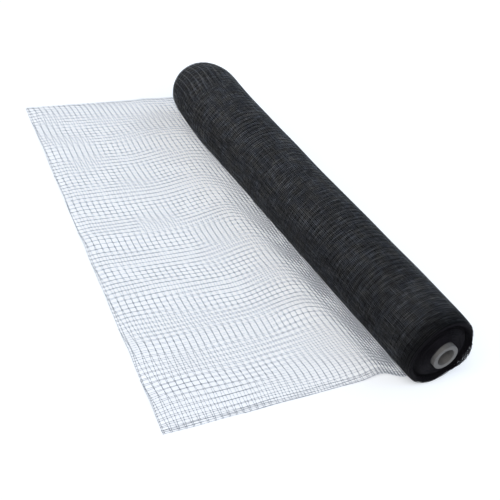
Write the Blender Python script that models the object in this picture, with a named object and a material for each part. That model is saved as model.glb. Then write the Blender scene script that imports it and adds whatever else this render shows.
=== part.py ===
"""A roll of black square-mesh bird netting on a grey tube, its loose end pulled out flat over the floor.

Metres, +Z up. The tube runs along +Y, its near end towards -Y, and the loose end runs out towards -X.
Shapes are worked out with the tube's axis over x = 0 and the roll's near end at y = 0. The frame at the
end moves the whole part, so that its origin lies on the floor under the middle of its box.
"""

import math
from collections import namedtuple

import bmesh
import bpy

# The tube, one length of pipe that shows at the roll's near end
TUBE_LENGTH = 1.008
TUBE_OUTER_RADIUS = 0.0275
TUBE_BORE_RADIUS = 0.0185
TUBE_STICKS_OUT = 0.0115
TUBE_CHAMFER = 0.0008
TUBE_HEIGHT = 0.0754

# The roll, wound round the tube
PIECE_GAP = 0.0003
FLAT_SPOT_DEPTH = 0.0012
ROUND_SEGMENTS = 48
RING_SPACING = 0.037
SLOW_LUMP = 0.0004
QUICK_LUMP = 0.0003

# The loose end, a sheet lying on the floor
SHEET_THICKNESS = 0.0020
NEAR_EDGE = 0.043
NEAR_EDGE_AT_ROLL = 0.026
FLARE_LENGTH = 0.050
FLARE_FALLOFF = 8
FAR_EDGE = 1.042
CUT_END_NEAR_X = -0.551
CUT_END_FAR_X = -0.395
FOOT_X = -0.031
FOOT_X_PAST_ROLL = 0.000
FOOT_TURNS_FROM = 0.945
FOOT_TURNS_TO = 0.990
STEPS_OUT = 30
STEPS_ACROSS = 50
FOOT_CROWDING = 1.35

# The low hump where the sheet comes out from under the roll
HUMP_X = -0.090
HUMP_HALF_WIDTH = 0.042
HUMP_HEIGHT_NEAR = 0.0060
HUMP_HEIGHT_FAR = 0.0025

NET_BLACK = (0.018, 0.019, 0.022, 1.0)
TUBE_GREY = (0.150, 0.143, 0.136, 1.0)

Ring = namedtuple("Ring", "along radius lean height")
Ripple = namedtuple("Ripple", "at_cut at_roll half_width height")


def about_tube(along, radius):
    """A ring centred on the tube."""
    return Ring(along, radius, 0.0, TUBE_HEIGHT)


def resting(along, radius, lean):
    """A ring that lies on the floor and is pressed a little flat there."""
    return Ring(along, radius, lean, radius - FLAT_SPOT_DEPTH)


# The end that shows, from the tube outwards: a face of tight turns, a crevice and a rounded rim
NEAR_END = (
    about_tube(-0.0002, TUBE_OUTER_RADIUS + PIECE_GAP),
    about_tube(-0.0010, 0.0330),
    about_tube(-0.0006, 0.0430),
    about_tube(0.0020, 0.0515),
    about_tube(0.0080, 0.0568),
    about_tube(0.0135, 0.0600),
    about_tube(0.0075, 0.0630),
    about_tube(0.0024, 0.0663),
    about_tube(0.0000, 0.0702),
    about_tube(0.0016, 0.0738),
    about_tube(0.0055, 0.0760),
)

# The winding is even, and slips into a dome at the far end
BODY = (
    resting(0.014, 0.0766, 0.0000),
    resting(0.050, 0.0772, 0.0000),
    resting(0.170, 0.0774, 0.0000),
    resting(0.330, 0.0769, 0.0002),
    resting(0.500, 0.0760, 0.0000),
    resting(0.670, 0.0764, -0.0003),
    resting(0.790, 0.0773, -0.0010),
    resting(0.860, 0.0774, 0.0018),
    resting(0.917, 0.0768, 0.0075),
    resting(0.950, 0.0732, 0.0114),
    Ring(0.975, 0.0668, 0.0114, 0.0692),
)

# The far end closes round the tube
FAR_END = (
    Ring(0.986, 0.0580, 0.0086, 0.0712),
    Ring(0.992, 0.0470, 0.0040, 0.0736),
    about_tube(0.9942, 0.0370),
    about_tube(0.9950, TUBE_OUTER_RADIUS + PIECE_GAP),
)

# Soft ripples along the loose end, each crest placed across the net at the cut end and at the roll
RIPPLES = (
    Ripple(0.112, 0.088, 0.042, 0.0028),
    Ripple(0.235, 0.258, 0.046, 0.0036),
    Ripple(0.395, 0.362, 0.050, 0.0032),
    Ripple(0.535, 0.575, 0.046, 0.0040),
    Ripple(0.700, 0.678, 0.050, 0.0032),
    Ripple(0.858, 0.890, 0.054, 0.0040),
)
RIPPLE_FADE = 0.050


def clear_scene():
    for old in list(bpy.data.objects):
        bpy.data.objects.remove(old, do_unlink=True)


def principled(name, colour, roughness):
    material = bpy.data.materials.new(name)
    material.use_nodes = True
    shader = material.node_tree.nodes["Principled BSDF"]
    shader.inputs["Base Color"].default_value = colour
    shader.inputs["Roughness"].default_value = roughness
    shader.inputs["Metallic"].default_value = 0.0
    return material


def smooth_step(value, start, end):
    share = min(max((value - start) / (end - start), 0.0), 1.0)
    return share * share * (3.0 - 2.0 * share)


def swell(distance, half_width):
    """A soft bump, 1 at its crest and 0 from its half width outwards."""
    share = min(abs(distance) / half_width, 1.0)
    return 0.5 * (1.0 + math.cos(math.pi * share))


def mixed(a, b, share):
    return a + (b - a) * share


def catmull_rom(before, start, end, after, share):
    """A ring on the smooth curve through four rings, between the middle two."""
    values = []
    for p0, p1, p2, p3 in zip(before, start, end, after):
        bend = 2.0 * p0 - 5.0 * p1 + 4.0 * p2 - p3
        twist = -p0 + 3.0 * p1 - 3.0 * p2 + p3
        value = 2.0 * p1 + (p2 - p0) * share + bend * share**2 + twist * share**3
        values.append(0.5 * value)
    return Ring(*values)


def fine_rings(rows):
    """The body's rings, with smooth ones added so that none are far apart."""
    rings = []
    last = len(rows) - 1
    for index in range(last):
        start = rows[index]
        end = rows[index + 1]
        before = rows[max(index - 1, 0)]
        after = rows[min(index + 2, last)]
        steps = max(1, round((end.along - start.along) / RING_SPACING))
        for step in range(steps):
            rings.append(catmull_rom(before, start, end, after, step / steps))
    rings.append(rows[last])
    return rings


def lump_at(angle, along):
    """How far the soft winding stands out of round: slow and quick swells that wander along it."""
    slow = math.sin(2.0 * angle + 5.0 * along)
    quick = math.sin(3.0 * angle - 9.0 * along + 1.0)
    return SLOW_LUMP * slow + QUICK_LUMP * quick


def ring_points(ring, lumpy):
    """The ring's corners, counted round from the bottom, none lower than the floor."""
    points = []
    for step in range(ROUND_SEGMENTS):
        angle = 2.0 * math.pi * step / ROUND_SEGMENTS
        radius = ring.radius
        if lumpy:
            radius += lump_at(angle, ring.along)
        x = ring.lean + radius * math.sin(angle)
        z = ring.height - radius * math.cos(angle)
        points.append((x, ring.along, max(z, 0.0)))
    return points


def closed_loft(name, loops):
    """A solid whose surface runs from each loop to the next and from the last back to the first."""
    mesh = bmesh.new()
    rows = [[mesh.verts.new(point) for point in loop] for loop in loops]
    around = len(rows[0])
    for index, row in enumerate(rows):
        following = rows[(index + 1) % len(rows)]
        for step in range(around):
            after = (step + 1) % around
            mesh.faces.new((row[step], row[after], following[after], following[step]))
    bmesh.ops.recalc_face_normals(mesh, faces=mesh.faces)
    data = bpy.data.meshes.new(name)
    mesh.to_mesh(data)
    mesh.free()
    return data


def add_object(data, material, sharp_angle):
    data.materials.append(material)
    data.shade_smooth()
    data.set_sharp_from_angle(angle=sharp_angle)
    made = bpy.data.objects.new(data.name, data)
    bpy.context.collection.objects.link(made)
    return made


def build_tube(material):
    """A plain pipe with a light chamfer at each rim."""
    near = -TUBE_STICKS_OUT
    far = near + TUBE_LENGTH
    outer = TUBE_OUTER_RADIUS
    bore = TUBE_BORE_RADIUS
    profile = (
        (near, bore + TUBE_CHAMFER),
        (near, outer - TUBE_CHAMFER),
        (near + TUBE_CHAMFER, outer),
        (far - TUBE_CHAMFER, outer),
        (far, outer - TUBE_CHAMFER),
        (far, bore + TUBE_CHAMFER),
        (far - TUBE_CHAMFER, bore),
        (near + TUBE_CHAMFER, bore),
    )
    loops = [ring_points(about_tube(along, radius), False) for along, radius in profile]
    return add_object(closed_loft("core_tube", loops), material, math.radians(30.0))


def build_roll(material):
    """The wound netting: rim and crevice at the near end, body, dome, and the hole for the tube."""
    loops = [ring_points(ring, False) for ring in NEAR_END]
    loops += [ring_points(ring, True) for ring in fine_rings(BODY)]
    loops += [ring_points(ring, False) for ring in FAR_END]
    return add_object(closed_loft("net_roll", loops), material, math.radians(60.0))


def sheet_place(out, across):
    """Where a point of the sheet lies in plan: out is 0 under the roll and 1 at the cut end."""
    along = mixed(NEAR_EDGE, FAR_EDGE, across)
    foot = mixed(FOOT_X, FOOT_X_PAST_ROLL, smooth_step(along, FOOT_TURNS_FROM, FOOT_TURNS_TO))
    cut = mixed(CUT_END_NEAR_X, CUT_END_FAR_X, across)
    x = mixed(foot, cut, out)
    flare = (NEAR_EDGE - NEAR_EDGE_AT_ROLL) * smooth_step(x, FOOT_X - FLARE_LENGTH, FOOT_X)
    y = along - flare * (1.0 - across) ** FLARE_FALLOFF
    return x, y


def sheet_lift(x, y):
    """How far the sheet's underside stands off the floor: 0 wherever it lies flat."""
    out = (FOOT_X - x) / (FOOT_X - CUT_END_NEAR_X)
    lift = 0.0
    for ripple in RIPPLES:
        crest = mixed(ripple.at_roll, ripple.at_cut, out)
        lift += ripple.height * swell(y - crest, ripple.half_width)
    lift *= 1.0 - smooth_step(x, FOOT_X - RIPPLE_FADE, FOOT_X)
    hump = mixed(HUMP_HEIGHT_NEAR, HUMP_HEIGHT_FAR, smooth_step(y, NEAR_EDGE, FAR_EDGE))
    hump *= swell(x - HUMP_X, HUMP_HALF_WIDTH)
    return max(lift, hump)


def build_sheet(material):
    """A thin skin of even thickness on a grid of points, closer together by the roll."""
    mesh = bmesh.new()
    under = []
    upper = []
    for row in range(STEPS_ACROSS + 1):
        under_row = []
        upper_row = []
        for column in range(STEPS_OUT + 1):
            x, y = sheet_place((column / STEPS_OUT) ** FOOT_CROWDING, row / STEPS_ACROSS)
            z = sheet_lift(x, y)
            under_row.append(mesh.verts.new((x, y, z)))
            upper_row.append(mesh.verts.new((x, y, z + SHEET_THICKNESS)))
        under.append(under_row)
        upper.append(upper_row)
    for skin in (under, upper):
        for row in range(STEPS_ACROSS):
            for column in range(STEPS_OUT):
                corners = (skin[row][column], skin[row][column + 1])
                mesh.faces.new(corners + (skin[row + 1][column + 1], skin[row + 1][column]))
    for row in range(STEPS_ACROSS):
        for column in (0, STEPS_OUT):
            corners = (under[row][column], under[row + 1][column])
            mesh.faces.new(corners + (upper[row + 1][column], upper[row][column]))
    for column in range(STEPS_OUT):
        for row in (0, STEPS_ACROSS):
            corners = (under[row][column], under[row][column + 1])
            mesh.faces.new(corners + (upper[row][column + 1], upper[row][column]))
    bmesh.ops.recalc_face_normals(mesh, faces=mesh.faces)
    data = bpy.data.meshes.new("net_sheet")
    mesh.to_mesh(data)
    mesh.free()
    return add_object(data, material, math.radians(45.0))


def centre_on_floor(pieces):
    """Parents the pieces to a frame that brings the bottom middle of their common box to the origin."""
    points = [vertex.co for piece in pieces for vertex in piece.data.vertices]
    low = [min(point[axis] for point in points) for axis in range(3)]
    high = [max(point[axis] for point in points) for axis in range(3)]
    frame = bpy.data.objects.new("part_frame", None)
    bpy.context.collection.objects.link(frame)
    frame.location = (-0.5 * (low[0] + high[0]), -0.5 * (low[1] + high[1]), -low[2])
    for piece in pieces:
        piece.parent = frame


def main():
    clear_scene()
    net = principled("net_black", NET_BLACK, 0.55)
    grey = principled("tube_grey", TUBE_GREY, 0.60)
    pieces = [build_roll(net), build_sheet(net), build_tube(grey)]
    centre_on_floor(pieces)


main()
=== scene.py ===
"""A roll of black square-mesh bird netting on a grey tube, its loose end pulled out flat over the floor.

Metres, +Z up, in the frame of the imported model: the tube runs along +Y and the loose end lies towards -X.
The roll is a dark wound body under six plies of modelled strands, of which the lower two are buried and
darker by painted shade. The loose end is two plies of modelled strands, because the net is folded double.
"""

import math
from collections import namedtuple

import bpy
import numpy as np
from mathutils import Matrix, Vector


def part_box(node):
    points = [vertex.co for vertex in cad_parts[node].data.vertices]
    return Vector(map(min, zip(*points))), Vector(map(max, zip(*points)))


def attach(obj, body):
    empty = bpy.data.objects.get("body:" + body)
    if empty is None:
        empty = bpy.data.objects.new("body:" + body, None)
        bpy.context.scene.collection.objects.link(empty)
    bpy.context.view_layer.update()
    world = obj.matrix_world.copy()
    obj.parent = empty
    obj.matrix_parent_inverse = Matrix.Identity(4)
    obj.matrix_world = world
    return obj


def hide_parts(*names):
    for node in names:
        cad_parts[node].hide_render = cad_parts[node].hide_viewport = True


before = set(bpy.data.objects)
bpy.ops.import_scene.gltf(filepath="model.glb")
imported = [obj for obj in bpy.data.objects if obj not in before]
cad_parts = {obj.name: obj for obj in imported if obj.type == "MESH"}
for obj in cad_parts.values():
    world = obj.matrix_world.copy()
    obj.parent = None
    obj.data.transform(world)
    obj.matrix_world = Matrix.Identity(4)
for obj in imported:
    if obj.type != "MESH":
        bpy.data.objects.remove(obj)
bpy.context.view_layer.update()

TUBE_LOW, TUBE_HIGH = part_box("core_tube")

FULL_TURN = 2.0 * math.pi
TINY = 1e-9

# Where the roll lies: its axis in plan, its near rim, and the tube's height
AXIS_X = 0.5 * (TUBE_LOW[0] + TUBE_HIGH[0])
TUBE_STICKS_OUT = 0.0115
RIM_Y = TUBE_LOW[1] + TUBE_STICKS_OUT
TUBE_HEIGHT = 0.5 * (TUBE_LOW[2] + TUBE_HIGH[2])

# How far the roll's underside is pressed in, and how far the lowest strands stay off the floor
FLAT_SPOT_DEPTH = 0.0012
FLOOR_GAP = 0.0003

Ring = namedtuple("Ring", "along radius lean height")
Wave = namedtuple("Wave", "height turns_u turns_v phase")


def about_tube(along, radius):
    """A ring centred on the tube."""
    return Ring(along, radius, 0.0, TUBE_HEIGHT)


def resting(along, radius, lean):
    """A ring that lies on the floor and is pressed a little flat there."""
    return Ring(along, radius, lean, radius - FLAT_SPOT_DEPTH)


# The near end's face of tight turns, from the tube out to the crevice
LOW_FACE = (
    about_tube(-0.0002, 0.0279),
    about_tube(-0.0010, 0.0330),
    about_tube(-0.0006, 0.0430),
    about_tube(0.0020, 0.0515),
    about_tube(0.0080, 0.0568),
)

# The winding's skin, from the crevice over the rounded rim, along the body and into the far dome
SKIN = (
    about_tube(0.0135, 0.0600),
    about_tube(0.0075, 0.0630),
    about_tube(0.0024, 0.0663),
    about_tube(0.0000, 0.0702),
    about_tube(0.0016, 0.0738),
    about_tube(0.0055, 0.0760),
    resting(0.014, 0.0766, 0.0000),
    resting(0.050, 0.0772, 0.0000),
    resting(0.170, 0.0774, 0.0000),
    resting(0.330, 0.0769, 0.0002),
    resting(0.500, 0.0760, 0.0000),
    resting(0.670, 0.0764, -0.0003),
    resting(0.790, 0.0773, -0.0010),
    resting(0.860, 0.0774, 0.0018),
    resting(0.917, 0.0768, 0.0075),
    resting(0.950, 0.0732, 0.0114),
    Ring(0.975, 0.0668, 0.0114, 0.0692),
    Ring(0.986, 0.0580, 0.0086, 0.0712),
    Ring(0.992, 0.0470, 0.0040, 0.0736),
    about_tube(0.9942, 0.0370),
    about_tube(0.9950, 0.0285),
)


def smooth_step(value, start, end):
    share = np.clip((value - start) / (end - start), 0.0, 1.0)
    return share * share * (3.0 - 2.0 * share)


def swell(distance, half_width):
    """A soft bump, 1 at its crest and 0 from its half width outwards."""
    share = np.minimum(np.abs(distance) / half_width, 1.0)
    return 0.5 * (1.0 + np.cos(math.pi * share))


def mixed(a, b, share):
    return a + (b - a) * share


def waves(u, v, table):
    """A smooth wander over a surface: the sum of a few slanted waves."""
    total = 0.0 * (u + v)
    for wave in table:
        total = total + wave.height * np.sin(FULL_TURN * (wave.turns_u * u + wave.turns_v * v) + wave.phase)
    return total


# ---------------------------------------------------------------- materials

EVENLY = (1.0, 1.0, 1.0)
Noise = namedtuple("Noise", "scale detail roughness stretch", defaults=(0.5, EVENLY))
Bump = namedtuple("Bump", "strength distance")
USUAL_GLOSS = 0.5


class Nodes:
    """Short calls for making a material's nodes."""

    def __init__(self, name):
        self.material = bpy.data.materials.new(name)
        self.material.use_nodes = True
        self.tree = self.material.node_tree
        self.shader = self.tree.nodes["Principled BSDF"]
        self.place = self.tree.nodes.new("ShaderNodeTexCoord").outputs["Object"]

    def link(self, source, target):
        if hasattr(source, "is_output"):
            self.tree.links.new(source, target)
        else:
            target.default_value = source

    def math(self, operation, *values):
        node = self.tree.nodes.new("ShaderNodeMath")
        node.operation = operation
        for socket, value in zip(node.inputs, values):
            self.link(value, socket)
        return node.outputs[0]

    def add(self, a, b):
        return self.math("ADD", a, b)

    def minus(self, a, b):
        return self.math("SUBTRACT", a, b)

    def times(self, a, b):
        return self.math("MULTIPLY", a, b)

    def blend(self, a, b, share):
        return self.add(a, self.times(share, self.minus(b, a)))

    def held(self, value, most=1.0):
        """The value, kept from 0 to the most that it may be."""
        return self.math("MINIMUM", self.math("MAXIMUM", value, 0.0), most)

    def between(self, value, start, end):
        """0 up to start, and 1 from end on."""
        return self.held(self.math("DIVIDE", self.minus(value, start), end - start))

    def noise(self, pattern):
        mapping = self.tree.nodes.new("ShaderNodeMapping")
        mapping.inputs["Scale"].default_value = pattern.stretch
        self.tree.links.new(self.place, mapping.inputs["Vector"])
        node = self.tree.nodes.new("ShaderNodeTexNoise")
        node.inputs["Scale"].default_value = pattern.scale
        node.inputs["Detail"].default_value = pattern.detail
        node.inputs["Roughness"].default_value = pattern.roughness
        self.tree.links.new(mapping.outputs[0], node.inputs["Vector"])
        return node.outputs["Fac"]

    def centred_noise(self, pattern, reach):
        """A noise that swings to both sides of 0."""
        return self.times(self.minus(self.noise(pattern), 0.5), reach)

    def ramp(self, value, *stops):
        node = self.tree.nodes.new("ShaderNodeValToRGB")
        band = node.color_ramp
        while len(band.elements) < len(stops):
            band.elements.new(0.5)
        for element, (place, colour) in zip(band.elements, stops):
            element.position = place
            element.color = (*colour, 1.0)
        self.tree.links.new(value, node.inputs["Fac"])
        return node.outputs["Color"]

    def mix(self, share, a, b):
        node = self.tree.nodes.new("ShaderNodeMix")
        node.data_type = "RGBA"
        self.link(share, node.inputs["Factor"])
        self.link(a, node.inputs["A"])
        self.link(b, node.inputs["B"])
        return node.outputs["Result"]

    def axes(self):
        split = self.tree.nodes.new("ShaderNodeSeparateXYZ")
        self.tree.links.new(self.place, split.inputs[0])
        return split.outputs

    def past_rim(self, start, end):
        """0 at the near end's rim and 1 from a little way along the roll."""
        return self.between(self.minus(self.axes()[1], RIM_Y), start, end)

    def surface(self, colour, roughness, gloss_level=USUAL_GLOSS):
        self.link(colour, self.shader.inputs["Base Color"])
        self.link(roughness, self.shader.inputs["Roughness"])
        self.shader.inputs["Specular IOR Level"].default_value = gloss_level

    def bump(self, height, bump):
        node = self.tree.nodes.new("ShaderNodeBump")
        node.inputs["Strength"].default_value = bump.strength
        node.inputs["Distance"].default_value = bump.distance
        self.tree.links.new(height, node.inputs["Height"])
        self.tree.links.new(node.outputs["Normal"], self.shader.inputs["Normal"])


StrandLook = namedtuple("StrandLook", "name dark light roughness gloss_level")

# The buried plies' look is a darker copy of the strands' black: painted shade under the upper plies
SHADED_BURIED_LOOK = StrandLook("buried_strand_black_painted_shade", (0.012, 0.012, 0.014), (0.036, 0.036, 0.040), 0.50, 0.10)
# The end turns' look is a near-black copy of the strands' black: painted shade on the near end's face and
# fringe
SHADED_END_LOOK = StrandLook("end_turn_black_painted_shade", (0.004, 0.003, 0.005), (0.015, 0.013, 0.018), 0.60, 0.08)
LOOSE_LOOK = StrandLook("loose_strand_black", (0.085, 0.110, 0.165), (0.115, 0.140, 0.200), 0.40, 0.40)
STRAND_PATCHES = Noise(9.0, 3.0)
STRAND_GRAIN = Noise(900.0, 2.0)
STRAND_GRAIN_SHARE = 0.3
STRAND_DARK_AT = 0.35
STRAND_LIGHT_AT = 0.65
STRAND_ROUGHNESS_SPREAD = 0.16
STRAND_BUMP = Bump(0.25, 0.0002)


def strand_material(look):
    """Extruded black plastic: slightly uneven in colour and gloss, with fine drawing marks."""
    nodes = Nodes(look.name)
    grain = nodes.noise(STRAND_GRAIN)
    tone = nodes.blend(nodes.noise(STRAND_PATCHES), grain, STRAND_GRAIN_SHARE)
    colour = nodes.ramp(tone, (STRAND_DARK_AT, look.dark), (STRAND_LIGHT_AT, look.light))
    smoothest = look.roughness - 0.5 * STRAND_ROUGHNESS_SPREAD
    roughness = nodes.add(smoothest, nodes.times(grain, STRAND_ROUGHNESS_SPREAD))
    nodes.surface(colour, roughness, look.gloss_level)
    nodes.bump(grain, STRAND_BUMP)
    return nodes.material


# Painted highlights: the wound strands' glints are painted into their colour, round the roll and along it,
# more of them along it on the flank and the dome
ROUND_PAINTED_GLINTS = Noise(300.0, 1.0, 0.5, (0.14, 1.3, 0.14))
LONG_PAINTED_GLINTS = Noise(300.0, 1.0, 0.5, (1.3, 0.14, 1.3))
LONG_ON_TOP = 0.32
LONG_ON_FLANK = 0.46
LONG_ON_DOME = 0.22
FLANK_HEIGHTS = (0.118, 0.090)
DOME_RUN = (0.60, 0.95)

# Their tone carries painted shade and painted light: darker at the near end, lighter along the roll and
# darker on the low flank
PAINTED_GLINT_WEIGHT = 0.60
GLINT_BANDS = Noise(22.0, 3.0, 0.55)
BAND_WEIGHT = 0.15
TONE_START = 0.12
NEAR_END_SHADED_TONE = 0.66
NEAR_END_SHADE_RUN = (0.002, 0.045)
PAINTED_LIGHT_RISE = 0.055
PAINTED_LIGHT_RISE_RUN = (0.05, 0.90)
TONE_DROP = 0.016
FLANK_PAINTED_SHADE = 0.050
NEUTRAL_TONES = (
    (0.34, (0.007, 0.007, 0.008)),
    (0.50, (0.080, 0.080, 0.080)),
    (0.66, (0.270, 0.268, 0.262)),
)
COOL_TONES = (
    (0.34, (0.007, 0.007, 0.009)),
    (0.50, (0.076, 0.083, 0.099)),
    (0.66, (0.245, 0.266, 0.312)),
)
NEUTRAL_PATCHES = Noise(60.0, 2.0)
NEUTRAL_SHARE = ((0.35, (0.0, 0.0, 0.0)), (0.65, (1.0, 1.0, 1.0)))
WRAP_ROUGHNESS = 0.45
WRAP_GLOSS = 0.14
WRAP_BUMP = Bump(0.25, 0.0003)


def wrap_material():
    """The wound strands: painted glints in short stretches, some neutral and some cool, with painted shade
    at the near end and on the low flank and painted light further along the roll.
    """
    nodes = Nodes("wrap_strand_black_painted_light")
    flank = nodes.between(nodes.axes()[2], *FLANK_HEIGHTS)
    lengthwise = nodes.add(LONG_ON_TOP, nodes.times(flank, LONG_ON_FLANK))
    lengthwise = nodes.add(lengthwise, nodes.times(nodes.past_rim(*DOME_RUN), LONG_ON_DOME))
    # Painted highlights: glints painted into the colour, round the roll on top and along it on the flank
    # and dome
    painted_glints = nodes.blend(nodes.noise(ROUND_PAINTED_GLINTS), nodes.noise(LONG_PAINTED_GLINTS), lengthwise)
    bands = nodes.add(TONE_START, nodes.times(nodes.noise(GLINT_BANDS), BAND_WEIGHT))
    tone = nodes.add(nodes.times(painted_glints, PAINTED_GLINT_WEIGHT), bands)
    # Painted shade: darker over the near end's face and rim
    tone = nodes.times(tone, nodes.blend(NEAR_END_SHADED_TONE, 1.0, nodes.past_rim(*NEAR_END_SHADE_RUN)))
    # Painted light: lighter along the roll, away from the near end
    tone = nodes.add(tone, nodes.times(nodes.past_rim(*PAINTED_LIGHT_RISE_RUN), PAINTED_LIGHT_RISE))
    # Painted shade: darker on the low flank, below the crown
    tone = nodes.minus(nodes.minus(tone, TONE_DROP), nodes.times(flank, FLANK_PAINTED_SHADE))
    neutral_share = nodes.ramp(nodes.noise(NEUTRAL_PATCHES), *NEUTRAL_SHARE)
    colour = nodes.mix(neutral_share, nodes.ramp(tone, *COOL_TONES), nodes.ramp(tone, *NEUTRAL_TONES))
    nodes.surface(colour, WRAP_ROUGHNESS, WRAP_GLOSS)
    nodes.bump(painted_glints, WRAP_BUMP)
    return nodes.material


# The plies below those that are modelled show only in the body's material, each lower one darker by painted
# shade
BodyPly = namedtuple("BodyPly", "shift line weight")

BODY_PLIES = (BodyPly(0.13, 0.10, 1.0), BodyPly(0.47, 0.09, 0.75), BodyPly(0.81, 0.08, 0.5))
BODY_ROW_PITCH = 0.0117
BODY_COLUMN_PITCH = 0.0138
BODY_RADIUS = 0.0765
ROW_SHIFT_SCALE = 1.7
LINE_SOFTNESS = 0.1
UPPER_WANDER = Noise(7.0, 2.0)
UPPER_WANDER_MESHES = 5.0
MIDDLE_WANDER = Noise(5.0, 2.0, 0.5, (1.0, 1.3, 1.0))
MIDDLE_WANDER_MESHES = 6.0
LOWER_WANDER_SCALE = -1.3
BODY_BLOTCHES = Noise(22.0, 3.0)
BODY_TONE_START = 0.35
BODY_NEAR_END_SHADE_RUN = (0.004, 0.045)
BODY_TONES = ((0.0, (0.0020, 0.0021, 0.0026)), (0.8, (0.030, 0.031, 0.034)))
BODY_ROUGHNESS = 0.6
BODY_GLOSS = 0.06
BODY_BUMP = Bump(0.8, 0.0008)


def grid_lines(nodes, round_place, along_place, ply, wander):
    """The ply's weight on the strands of one buried ply, and 0 in its holes."""
    columns = nodes.math("DIVIDE", round_place, BODY_COLUMN_PITCH)
    columns = nodes.add(columns, nodes.add(wander, ply.shift))
    rows = nodes.math("DIVIDE", along_place, BODY_ROW_PITCH)
    rows = nodes.add(rows, nodes.minus(ply.shift * ROW_SHIFT_SCALE, wander))
    lines = []
    for place in (columns, rows):
        off_strand = nodes.math("DIVIDE", nodes.math("PINGPONG", place, 0.5), ply.line)
        lines.append(nodes.math("SMOOTH_MAX", nodes.minus(1.0, off_strand), 0.0, LINE_SOFTNESS))
    # The weight makes each lower ply darker: painted shade
    return nodes.times(nodes.math("MAXIMUM", *lines), ply.weight)


def body_material():
    """The winding below the plies that are modelled: more buried plies, ever darker by painted shade, and
    painted shade at the near end.
    """
    nodes = Nodes("wound_net_black_painted_shade")
    x, y, z = nodes.axes()
    angle = nodes.math("ARCTAN2", nodes.minus(x, AXIS_X), nodes.minus(z, TUBE_HEIGHT))
    round_place = nodes.times(angle, BODY_RADIUS)
    upper = nodes.centred_noise(UPPER_WANDER, UPPER_WANDER_MESHES)
    middle = nodes.centred_noise(MIDDLE_WANDER, MIDDLE_WANDER_MESHES)
    lower = nodes.times(upper, LOWER_WANDER_SCALE)
    height = 0.0
    for ply, wander in zip(BODY_PLIES, (upper, middle, lower)):
        height = nodes.math("MAXIMUM", height, grid_lines(nodes, round_place, y, ply, wander))
    tone = nodes.times(height, nodes.add(BODY_TONE_START, nodes.noise(BODY_BLOTCHES)))
    # Painted shade: the body goes to near black at the near end's face and rim
    tone = nodes.times(tone, nodes.past_rim(*BODY_NEAR_END_SHADE_RUN))
    nodes.surface(nodes.ramp(tone, *BODY_TONES), BODY_ROUGHNESS, BODY_GLOSS)
    nodes.bump(height, BODY_BUMP)
    return nodes.material


PIPE_CLOUD = Noise(28.0, 4.0, 0.55)
PIPE_DRAWN = Noise(260.0, 2.0, 0.5, (1.0, 0.06, 1.0))
PIPE_DRAWN_SHARE = 0.4
PIPE_TONES = ((0.3, (0.074, 0.071, 0.069)), (0.7, (0.118, 0.114, 0.110)))
PIPE_SCUFF = Noise(75.0, 5.0, 0.75, (1.0, 0.5, 1.0))
SCUFF_COLOUR = (0.140, 0.135, 0.130, 1.0)
SCUFF_FROM = 0.60
SCUFF_SLOPE = 4.0
SCUFF_MOST = 0.5
PIPE_ROUGHNESS = 0.42
SCUFF_ROUGHNESS = 0.25
SCUFF_RELIEF = 0.6
PIPE_BUMP = Bump(0.18, 0.0004)


def tube_material():
    """Grey plastic pipe with a faint flow pattern and light scuffs."""
    nodes = Nodes("pipe_grey")
    drawn = nodes.noise(PIPE_DRAWN)
    scuff = nodes.noise(PIPE_SCUFF)
    base = nodes.ramp(nodes.blend(nodes.noise(PIPE_CLOUD), drawn, PIPE_DRAWN_SHARE), *PIPE_TONES)
    marks = nodes.held(nodes.times(nodes.minus(scuff, SCUFF_FROM), SCUFF_SLOPE), SCUFF_MOST)
    roughness = nodes.add(PIPE_ROUGHNESS, nodes.times(scuff, SCUFF_ROUGHNESS))
    nodes.surface(nodes.mix(marks, base, SCUFF_COLOUR), roughness)
    nodes.bump(nodes.add(drawn, nodes.times(scuff, SCUFF_RELIEF)), PIPE_BUMP)
    return nodes.material


# ---------------------------------------------------------------- meshes

# Edges sharper than this many degrees stay sharp
NO_SHARP_EDGE = 180.0
SHARP_ANGLE = 50.0


def add_piece(name, points, faces, material, sharp_angle):
    data = bpy.data.meshes.new(name)
    data.from_pydata(points, [], faces)
    data.materials.append(material)
    data.shade_smooth()
    data.set_sharp_from_angle(angle=math.radians(sharp_angle))
    data.validate()
    piece = bpy.data.objects.new(name, data)
    bpy.context.collection.objects.link(piece)
    return piece


def ring_faces(rings, around):
    """The quads of a closed skin, from each ring of points to the next and from the last to the first."""
    faces = []
    for ring in range(rings):
        here = ring * around
        there = (ring + 1) % rings * around
        for step in range(around):
            after = (step + 1) % around
            faces.append((here + step, there + step, there + after, here + after))
    return faces


def unit(vectors):
    return vectors / np.maximum(np.linalg.norm(vectors, axis=-1, keepdims=True), TINY)


# The corners of a strand's section, in its half width and half height
DIAMOND = ((1.0, 0.0), (0.0, 1.0), (-1.0, 0.0), (0.0, -1.0))
TRIANGLE = ((1.0, -0.5), (0.0, 1.0), (-1.0, -0.5))

Section = namedtuple("Section", "half_wide half_high knot_wide knot_high corners")
WRAP_STRAND = Section(0.00032, 0.00024, 0.00080, 0.00036, DIAMOND)
FRINGE_STRAND = Section(0.00040, 0.00028, 0.00080, 0.00036, DIAMOND)
TURN_STRAND = Section(0.00038, 0.00030, 0.0, 0.0, DIAMOND)
SHEET_STRAND = Section(0.00033, 0.00010, 0.00125, 0.00025, TRIANGLE)

# A knot's faces, on four corners round it, its top and its bottom
KNOT_CORNERS = 6
KNOT_FACES = np.array([
    [0, 1, 4], [1, 2, 4], [2, 3, 4], [3, 0, 4],
    [1, 0, 5], [2, 1, 5], [3, 2, 5], [0, 3, 5],
])


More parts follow.
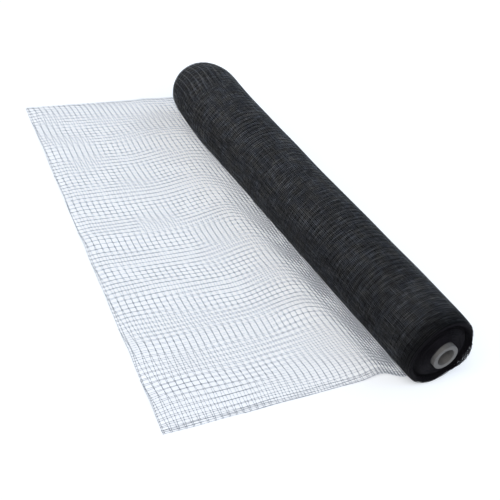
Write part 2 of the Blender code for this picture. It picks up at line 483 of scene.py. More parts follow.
class Strands:
    """Collects strands, as closed bars of one section, and knots, to become one mesh."""

    def __init__(self, section):
        self.section = section
        self.points = []
        self.faces = []
        self.count = 0

    def take(self, points, faces):
        self.points.append(points.reshape(-1, 3))
        self.faces.extend((faces + self.count).tolist())
        self.count += points.size // 3

    def chain(self, path, normals, closed=False, scale=1.0):
        """One strand along path, of one scale or one for each point; a closed one joins its own start."""
        if len(path) < 2:
            return
        if closed:
            ahead = np.roll(path, -1, axis=0) - np.roll(path, 1, axis=0)
        else:
            ahead = np.gradient(path, axis=0)
        ahead = unit(ahead)
        side = unit(np.cross(ahead, normals))
        up = np.cross(side, ahead)
        scale = np.reshape(scale, (-1, 1))
        wide = side * self.section.half_wide * scale
        high = up * self.section.half_high * scale
        corners = self.section.corners
        rings = np.stack([path + wide * across + high * above for across, above in corners], axis=1)
        total = len(path)
        links = total if closed else total - 1
        sides = len(corners)
        here = np.arange(links)[:, None] * sides
        there = (np.arange(1, links + 1) % total)[:, None] * sides
        corner = np.arange(sides)[None, :]
        after = (corner + 1) % sides
        quads = np.stack([here + corner, here + after, there + after, there + corner], axis=2)
        if not closed:
            first = np.arange(self.count, self.count + sides)
            self.faces.append(first[::-1].tolist())
            self.faces.append((first + sides * (total - 1)).tolist())
        self.take(rings, quads.reshape(-1, 4))

    def knots(self, places, normals, ahead, scale=1.0):
        """A small eight-sided knot at each place, of one scale or one for each."""
        if len(places) == 0:
            return
        ahead = unit(ahead)
        side = unit(np.cross(ahead, normals))
        up = unit(np.cross(side, ahead))
        scale = np.reshape(scale, (-1, 1))
        along = ahead * self.section.knot_wide * scale
        wide = side * self.section.knot_wide * scale
        high = up * self.section.knot_high * scale
        points = np.stack(
            [places + along, places + wide, places - along, places - wide, places + high, places - high],
            axis=1,
        )
        start = np.arange(len(places))[:, None, None] * KNOT_CORNERS
        self.take(points, (start + KNOT_FACES[None]).reshape(-1, 3))

    def make(self, name, material):
        return add_piece(name, np.concatenate(self.points).tolist(), self.faces, material, NO_SHARP_EDGE)


# ---------------------------------------------------------------- the roll's form

PROFILE_STEP = 0.002


def catmull_rom(before, start, end, after, share):
    values = []
    for p0, p1, p2, p3 in zip(before, start, end, after):
        bend = 2.0 * p0 - 5.0 * p1 + 4.0 * p2 - p3
        twist = -p0 + 3.0 * p1 - 3.0 * p2 + p3
        value = 2.0 * p1 + (p2 - p0) * share + bend * share**2 + twist * share**3
        values.append(0.5 * value)
    return values


def fine_profile(rows):
    """The skin's section as a fine line, with the length run along it at each point."""
    line = []
    last = len(rows) - 1
    for index in range(last):
        start = rows[index]
        end = rows[index + 1]
        before = rows[max(index - 1, 0)]
        after = rows[min(index + 2, last)]
        length = math.hypot(end.along - start.along, end.radius - start.radius)
        steps = max(2, round(length / PROFILE_STEP))
        for step in range(steps):
            line.append(catmull_rom(before, start, end, after, step / steps))
    line.append(list(rows[last]))
    line = np.array(line)
    run = np.hypot(np.diff(line[:, 0]), np.diff(line[:, 1]))
    return line, np.concatenate([[0.0], np.cumsum(run)])


SKIN_LINE, SKIN_RUN = fine_profile(SKIN)
SKIN_LENGTH = SKIN_RUN[-1]
SLOPE_RUN = 0.003

# Plies that the floor presses flat keep this share of their depth between them
PRESSED_DEPTH = 0.5

# The winding is a little loose, so each ply wanders
SOFT_LUMPS = (
    Wave(0.00045, 2.0, 0.9, 0.0),
    Wave(0.00030, 3.0, -1.5, 1.0),
    Wave(0.00025, 1.0, 4.0, 2.2),
    Wave(0.00018, 5.0, 7.0, 0.6),
)


def profile_at(run, columns):
    return [np.interp(run, SKIN_RUN, SKIN_LINE[:, column]) for column in range(columns)]


def skin_point(run, angle, depth):
    """Places and outward normals on the roll at a run along its section and an angle up from the bottom."""
    run = np.clip(run, 0.0, SKIN_LENGTH)
    along, radius, lean, height = profile_at(run, 4)
    ahead = profile_at(run + SLOPE_RUN, 2)
    behind = profile_at(run - SLOPE_RUN, 2)
    run_along = ahead[0] - behind[0]
    run_radius = ahead[1] - behind[1]
    length = np.maximum(np.hypot(run_along, run_radius), TINY)
    out_along = -run_radius / length
    out_radius = run_along / length
    lump = waves(angle / FULL_TURN, along, SOFT_LUMPS) - depth
    reach = radius + out_radius * lump
    x = AXIS_X + lean + reach * np.sin(angle)
    y = RIM_Y + along + out_along * lump
    z = height - reach * np.cos(angle)
    z = np.maximum(z, FLOOR_GAP + depth * PRESSED_DEPTH)
    places = np.stack([x, y, z], axis=-1)
    normals = np.stack([out_radius * np.sin(angle), out_along, -out_radius * np.cos(angle)], axis=-1)
    return places, normals


# Rows run round the roll and columns along it. A column's shift is in meshes
Ply = namedtuple("Ply", "depth first_row row_pitch column_shift slant rows_wander columns_wander")

# All plies share these slow waves of their rows and columns
ROWS_SHARED = (Wave(0.0020, 1.0, 1.3, 0.4), Wave(0.0016, 2.0, -2.1, 2.0), Wave(0.0008, 4.0, 3.7, 1.0))
COLUMNS_SHARED = (Wave(0.026, 0.0, 1.1, 0.5), Wave(0.018, 1.0, 2.9, 1.9), Wave(0.010, 2.0, -6.1, 0.3))

# From the outermost in: the upper four lie a quarter of a mesh apart, and the ones below them as they come
PLIES = (
    Ply(
        0.0003, 0.0020, 0.0117, 0.00, 0.0003,
        (Wave(0.0004, 1.0, 2.3, 0.4), Wave(0.0003, 3.0, -4.1, 2.0)),
        (Wave(0.005, 0.0, 2.1, 0.5), Wave(0.003, 1.0, 5.9, 1.9)),
    ),
    Ply(
        0.0008, 0.0049, 0.0117, 0.25, -0.0003,
        (Wave(0.0004, 1.0, -1.7, 1.9), Wave(0.0003, 3.0, 4.4, 0.2)),
        (Wave(0.005, 0.0, 1.7, 2.5), Wave(0.003, 1.0, -5.3, 0.9)),
    ),
    Ply(
        0.0013, 0.0078, 0.0117, 0.50, 0.0002,
        (Wave(0.0005, 1.0, 3.2, 3.1), Wave(0.0003, 2.0, 4.4, 1.1)),
        (Wave(0.006, 0.0, -2.4, 1.5), Wave(0.003, 2.0, 4.3, 0.2)),
    ),
    Ply(
        0.0018, 0.0107, 0.0117, 0.75, -0.0002,
        (Wave(0.0006, 1.0, -2.6, 0.9), Wave(0.0004, 2.0, 3.2, 2.8)),
        (Wave(0.007, 0.0, 2.1, 0.1), Wave(0.004, 1.0, -1.9, 2.4)),
    ),
    Ply(
        0.0023, 0.0050, 0.0116, 0.10, 0.0012,
        (Wave(0.0023, 1.0, 1.9, 1.4), Wave(0.0015, 3.0, -1.2, 0.4), Wave(0.0011, 4.0, 5.6, 2.3)),
        (Wave(0.034, 0.0, -1.9, 2.1), Wave(0.017, 1.0, 3.7, 0.6), Wave(0.012, 2.0, 4.4, 2.9)),
    ),
    Ply(
        0.0028, 0.0010, 0.0120, 0.35, -0.0014,
        (Wave(0.0027, 1.0, -1.1, 2.6), Wave(0.0016, 2.0, -3.4, 1.7), Wave(0.0008, 5.0, 3.3, 0.5)),
        (Wave(0.030, 0.0, 1.3, 1.1), Wave(0.019, 1.0, -4.2, 1.6), Wave(0.010, 3.0, 6.3, 0.9)),
    ),
)
PLIES_A_PIECE = 2
KNOTTED_PLIES = 4

# Every second point round the roll carries a column
POINTS_AROUND = 68
COLUMN_STEP = 2

# The rows start past the rolled-in lip and end just short of the tube
LIP_RUN = 0.0205
LAST_ROW_GAP = 0.004

# Between these runs the columns draw together, ply over ply, as they do on the domed end
GATHER_RUN = (0.86, 0.95)


def wrap_ply(strands, ply, knotted):
    """One ply round the whole roll: closed strands round it, and strands that run its length."""
    runs = np.arange(ply.first_row, SKIN_LENGTH - LAST_ROW_GAP, ply.row_pitch)
    turns = np.arange(POINTS_AROUND) / POINTS_AROUND
    run, turn = np.meshgrid(runs, turns, indexing="ij")
    wandered = run + waves(turn, run, ROWS_SHARED) + waves(turn, run, ply.rows_wander)
    wandered = wandered + ply.slant * np.sin(FULL_TURN * turn)
    apart = 1.0 - np.clip((run - GATHER_RUN[0]) / (GATHER_RUN[1] - GATHER_RUN[0]), 0.0, 1.0)
    angle = FULL_TURN * (turn + apart * ply.column_shift * COLUMN_STEP / POINTS_AROUND)
    angle = angle + waves(turn, run, COLUMNS_SHARED) + waves(turn, run, ply.columns_wander)
    places, normals = skin_point(wandered, angle, ply.depth)
    full = np.flatnonzero(runs > LIP_RUN)
    for row in full:
        strands.chain(places[row], normals[row], closed=True)
    first = full[0] - 1
    for column in range(0, POINTS_AROUND, COLUMN_STEP):
        strands.chain(places[first:, column], normals[first:, column])
    if knotted:
        ahead = np.gradient(places, axis=0)[full][:, ::COLUMN_STEP]
        crossings = places[full][:, ::COLUMN_STEP]
        upright = normals[full][:, ::COLUMN_STEP]
        strands.knots(crossings.reshape(-1, 3), upright.reshape(-1, 3), ahead.reshape(-1, 3))


def build_wraps(material, shaded_buried_material):
    made = []
    for name, first, finish in (
        ("net_wrap_outer", 0, material),
        ("net_wrap_middle", 2, material),
        ("net_wrap_inner", 4, shaded_buried_material),
    ):
        strands = Strands(WRAP_STRAND)
        for ply in PLIES[first : first + PLIES_A_PIECE]:
            wrap_ply(strands, ply, first < KNOTTED_PLIES)
        made.append(strands.make(name, finish))
    return made


# The wound body lies this deep below the skin, less near the rim, and its near face lies behind the turns
BODY_DEPTH = 0.0032
RIM_BODY_DEPTH = 0.0013
RIM_BODY_RUN = (0.020, 0.060)
FACE_DEPTH = 0.0008
BODY_SEGMENTS = 120

# Its rings are close together round the rim and further apart from there on
BODY_FIRST_RUN = 0.002
BODY_FINE_TO = 0.040
BODY_FINE_STEP = 0.003
BODY_STEP = 0.010
BODY_LAST_GAP = 0.003


def build_body(material):
    """The dark winding under the plies, with its low near face and the hole for the tube."""
    angles = FULL_TURN * np.arange(BODY_SEGMENTS) / BODY_SEGMENTS
    loops = []
    for ring in LOW_FACE:
        x = AXIS_X + ring.lean + ring.radius * np.sin(angles)
        z = ring.height - ring.radius * np.cos(angles)
        y = RIM_Y + ring.along + FACE_DEPTH - snug(angles, np.full(BODY_SEGMENTS, ring.radius))
        loops.append(np.stack([x, y, z], axis=1))
    rim_runs = np.arange(BODY_FIRST_RUN, BODY_FINE_TO, BODY_FINE_STEP)
    long_runs = np.arange(BODY_FINE_TO, SKIN_LENGTH - BODY_LAST_GAP, BODY_STEP)
    for run in (*rim_runs, *long_runs, SKIN_LENGTH):
        depth = mixed(RIM_BODY_DEPTH, BODY_DEPTH, smooth_step(run, *RIM_BODY_RUN))
        places, _ = skin_point(np.full(BODY_SEGMENTS, run), angles, depth)
        loops.append(places)
    faces = ring_faces(len(loops), BODY_SEGMENTS)
    return add_piece("net_winding", np.concatenate(loops).tolist(), faces, material, SHARP_ANGLE)


# On the side of the loose end the first turns push out round the tube
SNUG_ANGLE = math.radians(-100.0)
SNUG_HALF_ANGLE = math.radians(115.0)
SNUG_DEPTH = 0.0022
SNUG_RADIUS = (0.0300, 0.0480)


def snug(angle, radius):
    """How far the near face comes out beyond its plain form."""
    apart = np.abs((angle - SNUG_ANGLE + math.pi) % FULL_TURN - math.pi)
    return SNUG_DEPTH * swell(apart, SNUG_HALF_ANGLE) * (1.0 - smooth_step(radius, *SNUG_RADIUS))


# ---------------------------------------------------------------- the near end's fringe and turns

# The fringe's places round the roll are in degrees up from the bottom
FringePly = namedtuple("FringePly", "shift reach phase")

FRINGE_PLIES = (
    FringePly(0.0, 1.0, 0.0),
    FringePly(0.6, 0.95, 1.7),
    FringePly(1.2, 0.88, 3.9),
    FringePly(1.7, 0.80, 5.2),
)
FRINGE_ANGLE = 76.0
FRINGE_HALF_ANGLE = 46.0
FRINGE_LENGTH = 0.0110
FRINGE_STEPS = 9
FRINGE_PITCH = 2.3
FRINGE_RUN = 0.0175

# Its edge is uneven, its strands sway sideways, and it curls in as it hangs out
FRINGE_UNEVEN = 0.07
FRINGE_UNEVEN_RATE = 0.9
FRINGE_SWAY = 1.2
FRINGE_SWAY_RATE = 0.41
FRINGE_CURL = 0.0024
FRINGE_RUFFLE = 0.0006
FRINGE_RUFFLE_RATE = 0.7
FRINGE_RUFFLE_RATE_OUT = 5.0
FRINGE_TUCK = 0.0015
FRINGE_CROSS_SCALE = 1.3

# Each ply starts below the skin and rises towards it in the first part of its length
FRINGE_START_DEPTH = 0.0020
FRINGE_RISE = 0.0012
FRINGE_PLY_DEPTH = 0.0004
FRINGE_RISE_RATE = 4.0

# Where the holes lie in it
HOLE_ROWS = (2, 7)
HOLE_ANGLE = 66.0
HOLE_HALF_ANGLE = 27.0
HOLE_RATE_ROUND = 0.95
HOLE_RATE_OUT = 1.6
HOLE_LEVEL = -0.50


def in_fringe_hole(degree, row):
    """Small tears that go through all plies of the overhanging edge, so that light shows through."""
    if not HOLE_ROWS[0] <= row <= HOLE_ROWS[1] or abs(degree - HOLE_ANGLE) > HOLE_HALF_ANGLE:
        return False
    return math.sin(HOLE_RATE_ROUND * degree + HOLE_RATE_OUT * row) > HOLE_LEVEL


def fringe_places(degree, step, index, ply):
    """Places and normals on one ply of the fringe, at a degree round the roll and a share of its length."""
    length = FRINGE_LENGTH * ply.reach * np.sqrt(swell(degree - FRINGE_ANGLE, FRINGE_HALF_ANGLE))
    length = length * (1.0 + FRINGE_UNEVEN * np.sin(degree * FRINGE_UNEVEN_RATE + ply.phase))
    angle = np.radians(degree + FRINGE_SWAY * step * np.sin(degree * FRINGE_SWAY_RATE + ply.phase))
    rise = (FRINGE_RISE - FRINGE_PLY_DEPTH * index) * np.minimum(FRINGE_RISE_RATE * step, 1.0)
    places, _ = skin_point(np.full_like(angle, FRINGE_RUN), angle, FRINGE_START_DEPTH - rise)
    ruffle = np.sin(degree * FRINGE_RUFFLE_RATE + FRINGE_RUFFLE_RATE_OUT * step + ply.phase)
    inward = FRINGE_CURL * step**2 + FRINGE_RUFFLE * ruffle * step
    places[..., 0] -= inward * np.sin(angle)
    places[..., 1] -= length * step - FRINGE_TUCK
    places[..., 2] += inward * np.cos(angle)
    normals = np.stack([np.sin(angle), 0.0 * angle, -np.cos(angle)], axis=-1)
    return places, normals


def build_fringe(material):
    """Crushed edges of the outer plies that hang out past the near rim on one side."""
    strands = Strands(FRINGE_STRAND)
    first = FRINGE_ANGLE - FRINGE_HALF_ANGLE
    last = FRINGE_ANGLE + FRINGE_HALF_ANGLE
    for ply_index, ply in enumerate(FRINGE_PLIES):
        degrees = np.arange(first + ply.shift, last, FRINGE_PITCH)
        degree, step = np.meshgrid(degrees, np.linspace(0.0, 1.0, FRINGE_STEPS), indexing="ij")
        places, normals = fringe_places(degree, step, ply_index, ply)
        for index in range(len(degrees)):
            for row in range(FRINGE_STEPS - 1):
                if not in_fringe_hole(degrees[index], row) and not in_fringe_hole(degrees[index], row + 1):
                    strands.chain(places[index, row : row + 2], normals[index, row : row + 2])
        for row in range(1, FRINGE_STEPS):
            for index in range(len(degrees) - 1):
                if not in_fringe_hole(0.5 * (degrees[index] + degrees[index + 1]), row):
                    link = slice(index, index + 2)
                    strands.chain(places[link, row], normals[link, row], scale=FRINGE_CROSS_SCALE)
    return strands.make("net_end_fringe", material)


TURN_COUNT = 50
TURN_STEPS = 64
TURN_START_RADIUS = 0.0290
TURN_END_RADIUS = 0.0740
FACE_RINGS_OF_SKIN = 5

# How far the turns' edges stand out of the face, and how unevenly they lie, at this many places a turn
TURN_STANDS_OUT = 0.0002
TURN_UNEVEN_PLACES = 9
TURN_UNEVEN_ALONG = (-0.0016, 0.0012)
TURN_UNEVEN_RADIUS = (-0.0006, 0.0006)
TURN_SEED = 7


def build_end_turns(material):
    """The edges of the turns that show on the near face: one long uneven spiral."""
    strands = Strands(TURN_STRAND)
    chance = np.random.default_rng(TURN_SEED)
    share = np.arange(TURN_COUNT * TURN_STEPS + 1) / (TURN_COUNT * TURN_STEPS)
    angle = FULL_TURN * TURN_COUNT * share
    radius = mixed(TURN_START_RADIUS, TURN_END_RADIUS, share)
    face = LOW_FACE + SKIN[:FACE_RINGS_OF_SKIN]
    along = np.interp(radius, [ring.radius for ring in face], [ring.along for ring in face])
    places = np.linspace(0.0, 1.0, TURN_COUNT * TURN_UNEVEN_PLACES)
    uneven_along = chance.uniform(*TURN_UNEVEN_ALONG, len(places))
    uneven_radius = chance.uniform(*TURN_UNEVEN_RADIUS, len(places))
    along = along - TURN_STANDS_OUT + np.interp(share, places, uneven_along) - snug(angle, radius)
    radius = radius + np.interp(share, places, uneven_radius)
    x = AXIS_X + radius * np.sin(angle)
    z = TUBE_HEIGHT - radius * np.cos(angle)
    path = np.stack([x, RIM_Y + along, z], axis=1)
    strands.chain(path, np.tile([0.0, -1.0, 0.0], (len(path), 1)))
    return strands.make("net_end_turns", material)


# ---------------------------------------------------------------- the tube

TUBE_OUTER_RADIUS = 0.0275
TUBE_BORE_RADIUS = 0.0185
TUBE_NEAR = TUBE_LOW[1] - RIM_Y
TUBE_FAR = TUBE_HIGH[1] - RIM_Y
TUBE_ROUNDING = 0.0011
TUBE_CORNER_STEPS = 4
TUBE_SEGMENTS = 96

# Each corner of the tube's section: the middle of its rounding, and the degrees that it turns from and to
Corner = namedtuple("Corner", "along radius start end")
TUBE_CORNERS = (
    Corner(TUBE_NEAR + TUBE_ROUNDING, TUBE_OUTER_RADIUS - TUBE_ROUNDING, 90.0, 180.0),
    Corner(TUBE_NEAR + TUBE_ROUNDING, TUBE_BORE_RADIUS + TUBE_ROUNDING, 180.0, 270.0),
    Corner(TUBE_FAR - TUBE_ROUNDING, TUBE_BORE_RADIUS + TUBE_ROUNDING, 270.0, 360.0),
    Corner(TUBE_FAR - TUBE_ROUNDING, TUBE_OUTER_RADIUS - TUBE_ROUNDING, 0.0, 90.0),
)


def build_tube(material):
    """The pipe, finer than its solid, with rounded rims."""
    points = []
    for corner in TUBE_CORNERS:
        for corner_step in range(TUBE_CORNER_STEPS + 1):
            turn = math.radians(mixed(corner.start, corner.end, corner_step / TUBE_CORNER_STEPS))
            y = RIM_Y + corner.along + TUBE_ROUNDING * math.cos(turn)
            radius = corner.radius + TUBE_ROUNDING * math.sin(turn)
            for step in range(TUBE_SEGMENTS):
                angle = FULL_TURN * step / TUBE_SEGMENTS
                x = AXIS_X + radius * math.sin(angle)
                points.append((x, y, TUBE_HEIGHT - radius * math.cos(angle)))
    rings = len(points) // TUBE_SEGMENTS
    faces = [(a, d, c, b) for a, b, c, d in ring_faces(rings, TUBE_SEGMENTS)]
    return add_piece("core_pipe", points, faces, material, SHARP_ANGLE)


# ---------------------------------------------------------------- the loose end

# Distances along the net's width are from the roll's near rim; distances out are from the tube's axis
NEAR_EDGE = 0.043
NEAR_EDGE_AT_ROLL = 0.026
FLARE_LENGTH = 0.050
FLARE_FALLOFF = 8
FAR_EDGE = 1.042
CUT_END_NEAR_X = -0.551
CUT_END_FAR_X = -0.395
LOOSE_LENGTH = 0.56

# Its foot lies beside the roll's underside, and past the roll's far end it turns in
FOOT_X = -0.031
FOOT_X_PAST_ROLL = 0.000
FOOT_TURNS = (0.945, 0.990)

# It rises in a low hump before the roll, and in ripples that run out to the cut end
HUMP_X = -0.090
HUMP_HALF_WIDTH = 0.042
HUMP_HEIGHT_NEAR = 0.0060
HUMP_HEIGHT_FAR = 0.0025
Ripple = namedtuple("Ripple", "at_cut at_roll half_width height")
RIPPLES = (
    Ripple(0.112, 0.088, 0.042, 0.0028),
    Ripple(0.235, 0.258, 0.046, 0.0036),
    Ripple(0.395, 0.362, 0.050, 0.0032),
    Ripple(0.535, 0.575, 0.046, 0.0040),
    Ripple(0.700, 0.678, 0.050, 0.0032),
    Ripple(0.858, 0.890, 0.054, 0.0040),
)
RIPPLE_FADE = 0.050

# The net is springy: it stands a few millimetres off the floor and comes down at its edges
EDGE_RISE = 0.0010
EDGE_RUN = 0.030


def sheet_lift(x, y):
    """How far the loose end stands off the floor: 0 wherever it lies flat."""
    out = (FOOT_X - x) / (FOOT_X - CUT_END_NEAR_X)
    lift = 0.0 * x
    for ripple in RIPPLES:
        crest = mixed(ripple.at_roll, ripple.at_cut, out)
        lift = lift + ripple.height * swell(y - crest, ripple.half_width)
    lift = lift * (1.0 - smooth_step(x, FOOT_X - RIPPLE_FADE, FOOT_X))
    hump = mixed(HUMP_HEIGHT_NEAR, HUMP_HEIGHT_FAR, smooth_step(y, NEAR_EDGE, FAR_EDGE))
    hump = hump * swell(x - HUMP_X, HUMP_HALF_WIDTH)
    return np.maximum(lift, hump)


def foot_at(along):
    return mixed(FOOT_X, FOOT_X_PAST_ROLL, smooth_step(along, *FOOT_TURNS))


def cut_at(along):
    return mixed(CUT_END_NEAR_X, CUT_END_FAR_X, (along - NEAR_EDGE) / (FAR_EDGE - NEAR_EDGE))


def flared(x, along):
    """The near edge swings out towards the rim where it comes to the roll."""
    across = np.clip((along - NEAR_EDGE) / (FAR_EDGE - NEAR_EDGE), 0.0, 1.0)
    flare = (NEAR_EDGE - NEAR_EDGE_AT_ROLL) * smooth_step(x, FOOT_X - FLARE_LENGTH, FOOT_X)
    return along - flare * (1.0 - across) ** FLARE_FALLOFF


def margin(x, along):
    """How far a point is inside the loose end's outline: 0 on it and negative beyond it."""
    sides = (x - cut_at(along), foot_at(along) - x, along - NEAR_EDGE, FAR_EDGE - along)
    return np.minimum.reduce(sides)


def sheet_places(x, along, rise):
    """Places on the loose end, in the model's frame, from distances out and along."""
    lift = sheet_lift(x, along)
    rise = mixed(np.minimum(rise, EDGE_RISE), rise, smooth_step(margin(x, along), 0.0, EDGE_RUN))
    places = np.stack([AXIS_X + x, RIM_Y + flared(x, along), FLOOR_GAP + rise + lift], axis=-1)
    normals = np.broadcast_to(np.array([0.0, 0.0, 1.0]), places.shape)
    return places, normals


# Rows run out from the roll and columns run along it. The two plies' columns lean by different amounts, so
# the strands of one meet and part from the other's in bands
SheetPly = namedtuple("SheetPly", (
    "rise", "row_pitch", "first_row", "column_pitch", "first_column",
    "lean_at_cut", "lean_at_roll", "rows_wander", "columns_wander",
))

SHEET_ROWS_SHARED = (
    Wave(0.0021, 1.2, 0.4, 0.5),
    Wave(0.0014, 2.7, -2.9, 2.1),
    Wave(0.0007, 5.6, 4.3, 0.9),
)
SHEET_PLIES = (
    SheetPly(
        0.0058, 0.0116, 0.002, 0.0143, -0.140, 0.156, 0.100,
        (Wave(0.0009, 1.7, 3.6, 0.5), Wave(0.0008, 3.9, -6.9, 2.1), Wave(0.0005, 6.1, 9.3, 0.9)),
        (Wave(0.0014, 0.8, 1.7, 1.2), Wave(0.0007, 2.2, -3.9, 0.3)),
    ),
    SheetPly(
        0.0034, 0.01155, 0.0078, 0.0141, -0.100, 0.030, -0.025,
        (Wave(0.0010, 1.1, -2.8, 2.6), Wave(0.0008, 3.3, 5.6, 0.2), Wave(0.0005, 5.3, -8.1, 1.8)),
        (Wave(0.0017, 1.2, -1.3, 0.4), Wave(0.0008, 1.8, 3.1, 2.0)),
    ),
)

# Rows and columns start and end beyond the outline by these, and are cut at it
ROWS_BEFORE_EDGE = 0.03
ROWS_PAST_EDGE = 0.06
COLUMNS_PAST_CUT = 0.02

# On its way to the roll the net's rows swing to the far side, and then back as it dips under the roll
Swing = namedtuple("Swing", "reach x_from x_to near_from near_to far_from far_to")
SWINGS = (
    Swing(0.022, -0.26, -0.11, 0.08, 0.26, 0.85, 1.00),
    Swing(-0.050, -0.125, -0.030, 0.05, 0.22, 0.62, 0.86),
)

# From here to the roll its columns crowd together, less and less towards the far end
CROWD_X = -0.125
CROWD_SOFTNESS = 0.05
CROWDED_PITCH = 0.4
CROWD_FADE = (0.35, 0.95)
BY_ROLL_X = (-0.125, -0.065)
ROWS_BY_ROLL = 1.15
COLUMNS_BY_ROLL = 1.8
KNOTS_BY_ROLL = 0.55


def crowded(x, along):
    """Where a column comes to lie, from where it would lie in an even net."""
    past = np.maximum(x - CROWD_X, 0.0)
    eased = CROWD_SOFTNESS * (1.0 - np.exp(-past / CROWD_SOFTNESS))
    close = np.minimum(x, CROWD_X) + mixed(eased, past, CROWDED_PITCH)
    return mixed(close, x, smooth_step(along, *CROWD_FADE))


def by_roll(x, along, scale):
    """A scale that is 1 out on the sheet and changes to the one given where it comes to the roll."""
    return mixed(1.0, scale, smooth_step(x, *BY_ROLL_X) * (1.0 - smooth_step(along, *CROWD_FADE)))


def swung(x, along):
    for swing in SWINGS:
        share = smooth_step(along, swing.near_from, swing.near_to)
        share = share * (1.0 - smooth_step(along, swing.far_from, swing.far_to))
        along = along + swing.reach * share * smooth_step(x, swing.x_from, swing.x_to)
    return along


def clipped(x, along):
    """The stretches of a line that lie inside the outline, each cut exactly at it."""
    inside = margin(x, along)
    stretches = []
    current = []
    for index in range(len(x)):
        if index and (inside[index] > 0.0) != (inside[index - 1] > 0.0):
            share = inside[index - 1] / (inside[index - 1] - inside[index])
            crossing_x = mixed(x[index - 1], x[index], share)
            current.append((crossing_x, mixed(along[index - 1], along[index], share)))
            if inside[index] <= 0.0:
                stretches.append(current)
                current = []
        if inside[index] > 0.0:
            current.append((x[index], along[index]))
    if current:
        stretches.append(current)
    return [np.array(stretch) for stretch in stretches if len(stretch) > 1]


def lay_strand(strands, x, along, rise, scale=1.0, scale_by_roll=1.0):
    for stretch in clipped(x, along):
        places, normals = sheet_places(stretch[:, 0], stretch[:, 1], rise)
        strands.chain(places, normals, scale=scale * by_roll(stretch[:, 0], stretch[:, 1], scale_by_roll))


def lay_ply(strands, ply):
    """One ply of the loose end."""
    rows = np.arange(NEAR_EDGE + ply.first_row - ROWS_BEFORE_EDGE, FAR_EDGE + ROWS_PAST_EDGE, ply.row_pitch)
    columns = np.arange(ply.first_column, LOOSE_LENGTH + COLUMNS_PAST_CUT, ply.column_pitch)
    row, column = np.meshgrid(rows, columns, indexing="ij")
    lean = mixed(ply.lean_at_roll, ply.lean_at_cut, np.clip(column / LOOSE_LENGTH, 0.0, 1.0))
    x = crowded(-column + lean * (row - NEAR_EDGE) + waves(column, row, ply.columns_wander), row)
    along = swung(x, row + waves(column, row, SHEET_ROWS_SHARED) + waves(column, row, ply.rows_wander))
    for index in range(len(rows)):
        lay_strand(strands, x[index], along[index], ply.rise, scale_by_roll=ROWS_BY_ROLL)
    for index in range(len(columns)):
        lay_strand(strands, x[:, index], along[:, index], ply.rise, scale_by_roll=COLUMNS_BY_ROLL)
    inside = margin(x, along) > 0.0
    places, normals = sheet_places(x, along, ply.rise)
    ahead = np.gradient(places, axis=0)
    scale = by_roll(x[inside], along[inside], KNOTS_BY_ROLL)
    strands.knots(places[inside], normals[inside], ahead[inside], scale)


# Extra strands lie along the edges, each at its inset from the outline
Edge = namedtuple("Edge", "inset rise wander phase")
NEAR_SELVEDGE = (
    Edge(0.0005, 0.0012, 0.0005, 0.0),
    Edge(0.0040, 0.0009, 0.0009, 1.1),
    Edge(0.0078, 0.0016, 0.0011, 2.3),
    Edge(0.0125, 0.0008, 0.0012, 0.4),
)
FAR_SELVEDGE = (
    Edge(0.0004, 0.0016, 0.0003, 0.7),
    Edge(0.0040, 0.0009, 0.0007, 1.9),
)
CUT_STRAND = Edge(0.0005, 0.0012, 0.0004, 0.2)
EDGE_SCALE = 0.8
SELVEDGE_POINTS = 60
SELVEDGE_WANDER_RATE = 55.0
CUT_POINTS = 100
CUT_WANDER_RATE = 43.0
CUT_INSET = 0.0005


def edge_inset(edge, place, rate):
    return edge.inset + edge.wander * (1.0 + np.sin(rate * place + edge.phase))


def lay_edges(strands):
    """The extra strands along the near edge, the far edge and the cut end."""
    out = np.linspace(-LOOSE_LENGTH, 0.0, SELVEDGE_POINTS)
    for edge in NEAR_SELVEDGE:
        along = NEAR_EDGE + edge_inset(edge, out, SELVEDGE_WANDER_RATE)
        lay_strand(strands, out, along, edge.rise, EDGE_SCALE)
    for edge in FAR_SELVEDGE:
        along = FAR_EDGE - edge_inset(edge, out, SELVEDGE_WANDER_RATE)
        lay_strand(strands, out, along, edge.rise, EDGE_SCALE)
    across = np.linspace(NEAR_EDGE + CUT_INSET, FAR_EDGE - CUT_INSET, CUT_POINTS)
    x = cut_at(across) + edge_inset(CUT_STRAND, across, CUT_WANDER_RATE)
    lay_strand(strands, x, across, CUT_STRAND.rise, EDGE_SCALE)


def build_sheet(material):
    strands = Strands(SHEET_STRAND)
    for ply in SHEET_PLIES:
        lay_ply(strands, ply)
    lay_edges(strands)
    return strands.make("net_loose_end", material)


# ---------------------------------------------------------------- stage, light and camera

# The camera's place is from the tube's axis, the near rim and the floor, and its turns are in degrees
CAMERA_OUT = -1.318
CAMERA_ALONG = -0.905
CAMERA_HEIGHT = 1.261
CAMERA_YAW = 41.2
CAMERA_PITCH = 35.1
CAMERA_ROLL = 17.0
PICTURE_SIDE = 500.0
FOCAL_PIXELS = 1055.0
SENSOR_WIDTH = 36.0
CLIP_START = 0.05
CLIP_END = 60.0


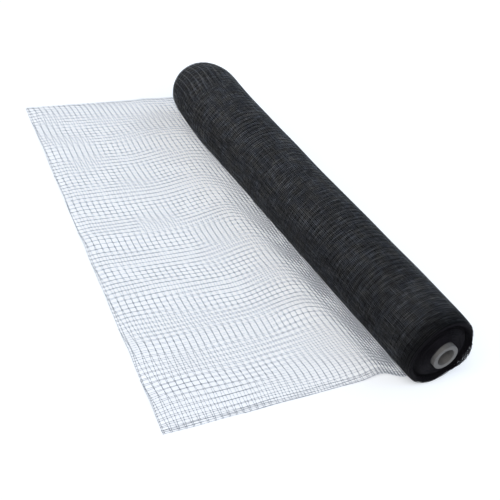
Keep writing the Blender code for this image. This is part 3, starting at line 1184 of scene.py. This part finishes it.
def build_camera():
    yaw = math.radians(CAMERA_YAW)
    pitch = math.radians(CAMERA_PITCH)
    roll = math.radians(CAMERA_ROLL)
    ahead = Vector((math.sin(yaw) * math.cos(pitch), math.cos(yaw) * math.cos(pitch), -math.sin(pitch)))
    level = Vector((math.cos(yaw), -math.sin(yaw), 0.0))
    above = level.cross(ahead)
    right = math.cos(roll) * level + math.sin(roll) * above
    up = -math.sin(roll) * level + math.cos(roll) * above
    turn = Matrix((right, up, -ahead)).transposed().to_4x4()
    lens = bpy.data.cameras.new("camera")
    lens.sensor_width = SENSOR_WIDTH
    lens.lens = FOCAL_PIXELS / PICTURE_SIDE * SENSOR_WIDTH
    lens.clip_start = CLIP_START
    lens.clip_end = CLIP_END
    camera = bpy.data.objects.new("camera", lens)
    bpy.context.collection.objects.link(camera)
    place = Vector((AXIS_X + CAMERA_OUT, RIM_Y + CAMERA_ALONG, CAMERA_HEIGHT))
    camera.matrix_world = Matrix.Translation(place) @ turn
    bpy.context.scene.camera = camera


# The floor is lit a little from within, as a light table is, so that shadows on it stay faint
FLOOR_GLOW = (0.90, 0.92, 0.95, 1.0)
FLOOR_GLOW_STRENGTH = 0.47
FLOOR_CLOUD = Noise(1.5, 2.0)
FLOOR_TONES = ((0.3, (0.665, 0.680, 0.705)), (0.7, (0.685, 0.700, 0.725)))
FLOOR_ROUGHNESS = 0.95
FLOOR_GLOSS = 0.1
FLOOR_HALF_SIDE = 12.0


def build_floor():
    nodes = Nodes("floor_white")
    colour = nodes.ramp(nodes.noise(FLOOR_CLOUD), *FLOOR_TONES)
    nodes.surface(colour, FLOOR_ROUGHNESS, FLOOR_GLOSS)
    nodes.shader.inputs["Emission Color"].default_value = FLOOR_GLOW
    nodes.shader.inputs["Emission Strength"].default_value = FLOOR_GLOW_STRENGTH
    side = FLOOR_HALF_SIDE
    points = [(-side, -side, 0.0), (side, -side, 0.0), (side, side, 0.0), (-side, side, 0.0)]
    floor = add_piece("studio_floor", points, [(0, 1, 2, 3)], nodes.material, NO_SHARP_EDGE)


Light = namedtuple("Light", "name towards width power colour")

# Wide, even lights: the direction each one comes from, and how many degrees of the sky it fills
LIGHTS = (
    Light("soft_key", (-0.80, -0.40, 1.0), 50.0, 1.95, (1.0, 0.98, 0.94)),
    Light("soft_right", (1.0, -0.15, 0.80), 60.0, 1.10, (0.60, 0.80, 1.0)),
    Light("soft_near", (0.10, -1.0, 0.85), 60.0, 0.50, (0.98, 0.99, 1.0)),
)
WORLD_LIGHT = 0.25
WORLD_COLOUR = (0.86, 0.94, 1.08, 1.0)
EXPOSURE = 0.0


def build_lights():
    for row in LIGHTS:
        lamp = bpy.data.lights.new(row.name, "SUN")
        lamp.angle = math.radians(row.width)
        lamp.energy = row.power
        lamp.color = row.colour
        light = bpy.data.objects.new(row.name, lamp)
        bpy.context.collection.objects.link(light)
        light.rotation_euler = (-Vector(row.towards)).to_track_quat("-Z", "Y").to_euler()
    world = bpy.data.worlds.new("studio")
    bpy.context.scene.world = world
    world.use_nodes = True
    back = world.node_tree.nodes["Background"]
    back.inputs["Color"].default_value = WORLD_COLOUR
    back.inputs["Strength"].default_value = WORLD_LIGHT
    settings = bpy.context.scene.view_settings
    settings.view_transform = "Standard"
    settings.look = "None"
    settings.exposure = EXPOSURE


# ---------------------------------------------------------------- the object

build_camera()
build_floor()
build_lights()

wrap_black_painted_light = wrap_material()
end_black_painted_shade = strand_material(SHADED_END_LOOK)
winding = build_body(body_material())
wraps = build_wraps(wrap_black_painted_light, strand_material(SHADED_BURIED_LOOK))
end_turns = build_end_turns(end_black_painted_shade)
fringe = build_fringe(end_black_painted_shade)
loose_end = build_sheet(strand_material(LOOSE_LOOK))
pipe = build_tube(tube_material())

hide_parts("net_roll")
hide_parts("net_sheet")
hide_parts("core_tube")
for piece in (winding, *wraps, end_turns, fringe, loose_end):
    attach(piece, "root")
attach(pipe, "root")
